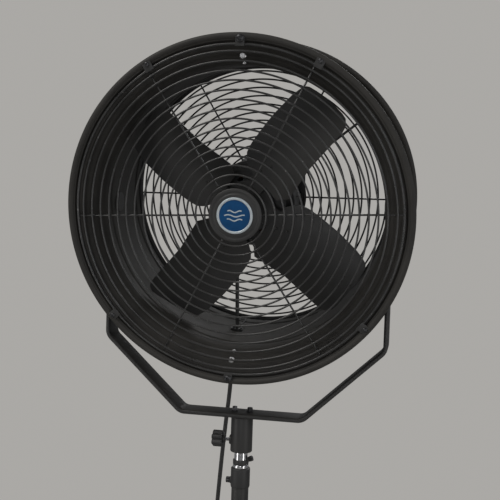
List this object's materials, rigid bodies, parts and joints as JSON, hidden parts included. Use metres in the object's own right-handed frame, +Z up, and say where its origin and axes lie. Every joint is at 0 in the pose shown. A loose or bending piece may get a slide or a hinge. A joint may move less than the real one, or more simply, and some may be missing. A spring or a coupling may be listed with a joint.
{
  "type": "pedestal fan",
  "caption": "Free-standing pedestal fan: a drum head with wire guards and blades tilts in a tubular yoke on a telescopic pole with a round weighted base.",
  "frame": {"origin": "centre of the round base on the floor, under the pole axis", "axes": "+Z up along the pole, the fan blows towards -Y and slightly down, X along the tilt axis"},
  "size_m": [0.632, 0.634, 1.5842],
  "materials": {
    "black_paint": "satin",
    "cast_grey": "rough",
    "motor_paint": "satin",
    "rubber": "matte",
    "chrome": "polished",
    "zinc": "satin",
    "black_oxide": "satin",
    "black_plastic": "matte",
    "switch_grey": "matte",
    "badge_silver": "satin",
    "badge_blue": "gloss",
    "copper_wire": "enamelled",
    "cord_jacket": "satin",
    "tie_grey": "matte",
    "brass_pins": "polished"
  },
  "bodies": {
    "stand": {"base_weight": "cast_grey", "base_cover": "black_paint", "rubber_feet": "rubber", "pole_socket": "black_paint", "socket_bolts": "zinc", "lower_pole": "black_paint", "pole_bush": "black_plastic", "pole_collar": "black_paint", "trim_ring": "chrome"},
    "collar_screw": {"collar_screw": "black_oxide"},
    "mast": {"upper_tube": "chrome", "tube_plug": "black_plastic", "stop_ring": "black_paint"},
    "stop_screw": {"stop_screw": "black_oxide"},
    "yoke": {"sleeve": "black_paint", "sleeve_liner": "black_plastic", "sleeve_plug": "cast_grey", "yoke": "black_paint", "yoke_caps": "black_plastic", "yoke_bolts": "black_oxide", "pivot_washers": "black_plastic", "cord_tube": "cord_jacket", "cord_coil": "cord_jacket", "cord_tie": "tie_grey", "plug_body": "cord_jacket", "plug_pins": "brass_pins"},
    "sleeve_knob": {"sleeve_knob": "black_plastic", "sleeve_stud": "zinc"},
    "head": {"drum": "black_paint", "pivot_studs": "black_paint", "front_rings": "black_paint", "front_spokes": "black_paint", "guard_plate": "black_paint", "badge_bezel": "badge_silver", "badge_disc": "badge_blue", "guard_clips": "black_paint", "clip_screws": "black_oxide", "hanger_bolts": "zinc", "rear_frame": "black_paint", "rear_spokes": "black_paint", "rear_rings": "black_paint", "rear_plate": "black_paint", "rear_screws": "zinc", "motor_struts": "black_paint", "strut_bolts": "black_oxide", "motor_shell": "motor_paint", "motor_front_bell": "motor_paint", "motor_rear_bell": "motor_paint", "motor_plate": "black_paint", "motor_bolts": "zinc", "stator_core": "cast_grey", "stator_coils": "copper_wire", "bearings": "zinc", "switch_box": "black_plastic", "switch_lid": "black_plastic", "switch_body": "switch_grey", "cord_gland": "rubber"},
    "tilt_knob_left": {"tilt_knob_left": "black_plastic"},
    "tilt_knob_right": {"tilt_knob_right": "black_plastic"},
    "speed_knob": {"speed_knob": "black_plastic"},
    "rotor": {"motor_shaft": "zinc", "rotor_core": "cast_grey", "blade_hub": "black_paint", "fan_blades": "black_paint", "blade_rivets": "black_paint"}
  },
  "joints": [
    {"name": "height_slide", "type": "slide", "parent": "stand", "child": "mast", "axis": [0, 0, 1], "range_m": [0, 0.35]},
    {"name": "swivel", "type": "hinge", "parent": "mast", "child": "yoke", "pos_m": [0, 0, 0.9534], "axis": [0, 0, 1], "range_deg": [-180, 180]},
    {"name": "head_tilt", "type": "hinge", "parent": "yoke", "child": "head", "pos_m": [0, 0, 1.3], "axis": [1, 0, 0], "range_deg": [-35, 15], "deforming": ["cord_tube"]},
    {"name": "blade_spin", "type": "hinge", "parent": "head", "child": "rotor", "pos_m": [0, 0, 1.3], "axis": [0, -0.9885, -0.1513], "continuous": true},
    {"name": "speed_turn", "type": "hinge", "parent": "head", "child": "speed_knob", "pos_m": [-0.082, 0.11201, 1.044], "axis": [0, 0.1513, -0.9885], "range_deg": [0, 270]},
    {"name": "tilt_knob_left_turn", "type": "hinge", "parent": "head", "child": "tilt_knob_left", "pos_m": [-0.25, 0, 1.3], "axis": [-1, 0, 0], "range_deg": [-90, 0]},
    {"name": "tilt_knob_right_turn", "type": "hinge", "parent": "head", "child": "tilt_knob_right", "pos_m": [0.25, 0, 1.3], "axis": [1, 0, 0], "range_deg": [-90, 0]},
    {"name": "sleeve_knob_turn", "type": "hinge", "parent": "yoke", "child": "sleeve_knob", "pos_m": [-0.035, 0, 0.9084], "axis": [-1, 0, 0], "range_deg": [-360, 0]},
    {"name": "collar_screw_turn", "type": "hinge", "parent": "stand", "child": "collar_screw", "pos_m": [-0.02, 0, 0.84], "axis": [-1, 0, 0], "range_deg": [-360, 0]},
    {"name": "stop_screw_turn", "type": "hinge", "parent": "mast", "child": "stop_screw", "pos_m": [0.01669, 0, 0.87854], "axis": [0.9272, 0, 0.3746], "range_deg": [-360, 0]}
  ]
}
